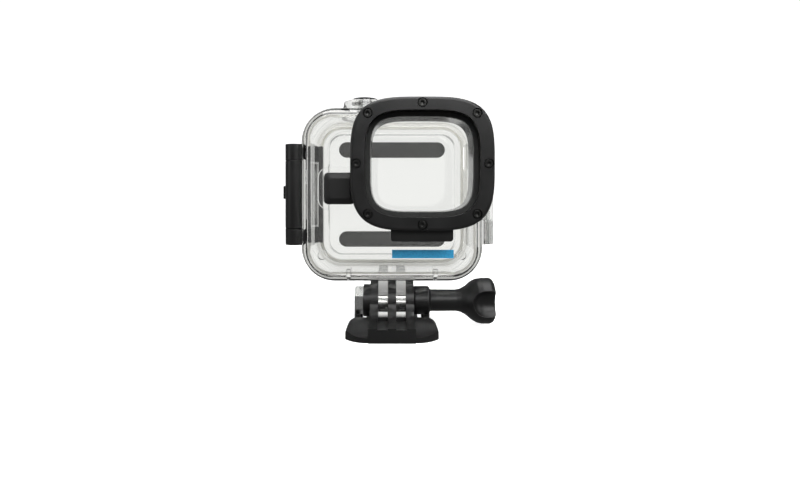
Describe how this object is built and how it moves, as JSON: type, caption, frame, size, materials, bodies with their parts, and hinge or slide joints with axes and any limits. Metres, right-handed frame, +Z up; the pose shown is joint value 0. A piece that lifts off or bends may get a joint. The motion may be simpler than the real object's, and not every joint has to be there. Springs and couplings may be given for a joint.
{
  "type": "action camera dive housing",
  "caption": "Clear waterproof housing for a small square camera, with lens port, press buttons, latched back door, on a tilting quick-release buckle with a thumb screw.",
  "frame": {"origin": "middle of the buckle's underside, straight below the tilt axis", "axes": "+Z up along the housing, -Y towards the lens side, +X to the right as seen from the lens side"},
  "size_m": [0.0787, 0.049, 0.0803],
  "materials": {
    "black_plastic": "fine satin mould texture",
    "ring_plastic": "satin",
    "liner_plastic": "matt",
    "button_plastic": "satin",
    "clear_polycarbonate": "clear, polished",
    "window_glass": "clear, polished",
    "steel": "turned",
    "screw_steel": "black oxide",
    "gasket_rubber": "matt",
    "seal_silicone": "translucent white, matt",
    "pad_rubber": "matt"
  },
  "bodies": {
    "buckle": {"buckle_base": "black_plastic", "mount_nut": "steel"},
    "clip_left": {"clip_arm_left": "black_plastic"},
    "clip_right": {"clip_arm_right": "black_plastic"},
    "thumb_screw": {"screw_rod": "steel", "thumb_knob": "black_plastic"},
    "housing": {"front_shell": "clear_polycarbonate", "port_liner": "liner_plastic", "lens_gasket": "gasket_rubber", "lens_window": "window_glass", "lens_ring": "ring_plastic", "hinge_pin": "steel", "latch_frame": "black_plastic", "latch_pin": "steel", "shutter_seal": "gasket_rubber", "shutter_spring": "steel", "front_seal": "gasket_rubber", "front_spring": "steel", "ring_screw_1": "screw_steel", "ring_screw_2": "screw_steel", "ring_screw_3": "screw_steel", "ring_screw_4": "screw_steel", "ring_screw_5": "screw_steel", "ring_screw_6": "screw_steel", "ring_screw_7": "screw_steel", "ring_screw_8": "screw_steel"},
    "shutter_button": {"shutter_cap": "button_plastic", "shutter_plunger": "clear_polycarbonate", "shutter_stem": "steel", "shutter_clip": "steel"},
    "front_button": {"front_cap": "button_plastic", "front_stem": "steel", "front_clip": "steel"},
    "door": {"back_door": "clear_polycarbonate", "door_seal": "seal_silicone", "pad_upper": "pad_rubber", "pad_lower": "pad_rubber"},
    "latch": {"latch_clasp": "black_plastic"},
    "latch_slider": {"latch_lock": "black_plastic"}
  },
  "joints": [
    {"name": "housing_tilt", "type": "hinge", "parent": "buckle", "child": "housing", "pos_m": [0, 0, 0.0095], "axis": [1, 0, 0], "range_deg": [-35, 35]},
    {"name": "thumb_screw_turn", "type": "hinge", "parent": "buckle", "child": "thumb_screw", "pos_m": [0.02, 0, 0.0095], "axis": [1, 0, 0], "continuous": true},
    {"name": "clip_left_squeeze", "type": "hinge", "parent": "buckle", "child": "clip_left", "pos_m": [-0.0122, -0.009, 0.0004], "axis": [0, 0, -1], "range_deg": [0, 4], "stiffness_Nm_per_rad": 0.2},
    {"name": "clip_right_squeeze", "type": "hinge", "parent": "buckle", "child": "clip_right", "pos_m": [0.0122, -0.009, 0.0004], "axis": [0, 0, 1], "range_deg": [0, 4], "stiffness_Nm_per_rad": 0.2},
    {"name": "door_swing", "type": "hinge", "parent": "housing", "child": "door", "pos_m": [0.0363, 0.012, 0.047], "axis": [0, 0, -1], "range_deg": [0, 160]},
    {"name": "latch_swing", "type": "hinge", "parent": "housing", "child": "latch", "pos_m": [-0.0344, 0.001, 0.047], "axis": [0, 0, 1], "range_deg": [0, 90]},
    {"name": "latch_lock_slide", "type": "slide", "parent": "latch", "child": "latch_slider", "axis": [0, 0, -1], "range_m": [0, 0.003]},
    {"name": "shutter_press", "type": "slide", "parent": "housing", "child": "shutter_button", "axis": [0, 0, -1], "range_m": [0, 0.0015], "stiffness_N_per_m": 600, "springref_m": -0.001, "deforming": ["shutter_spring"]},
    {"name": "front_button_press", "type": "slide", "parent": "housing", "child": "front_button", "axis": [0, 1, 0], "range_m": [0, 0.0015], "stiffness_N_per_m": 600, "springref_m": -0.001, "deforming": ["front_spring"]}
  ]
}
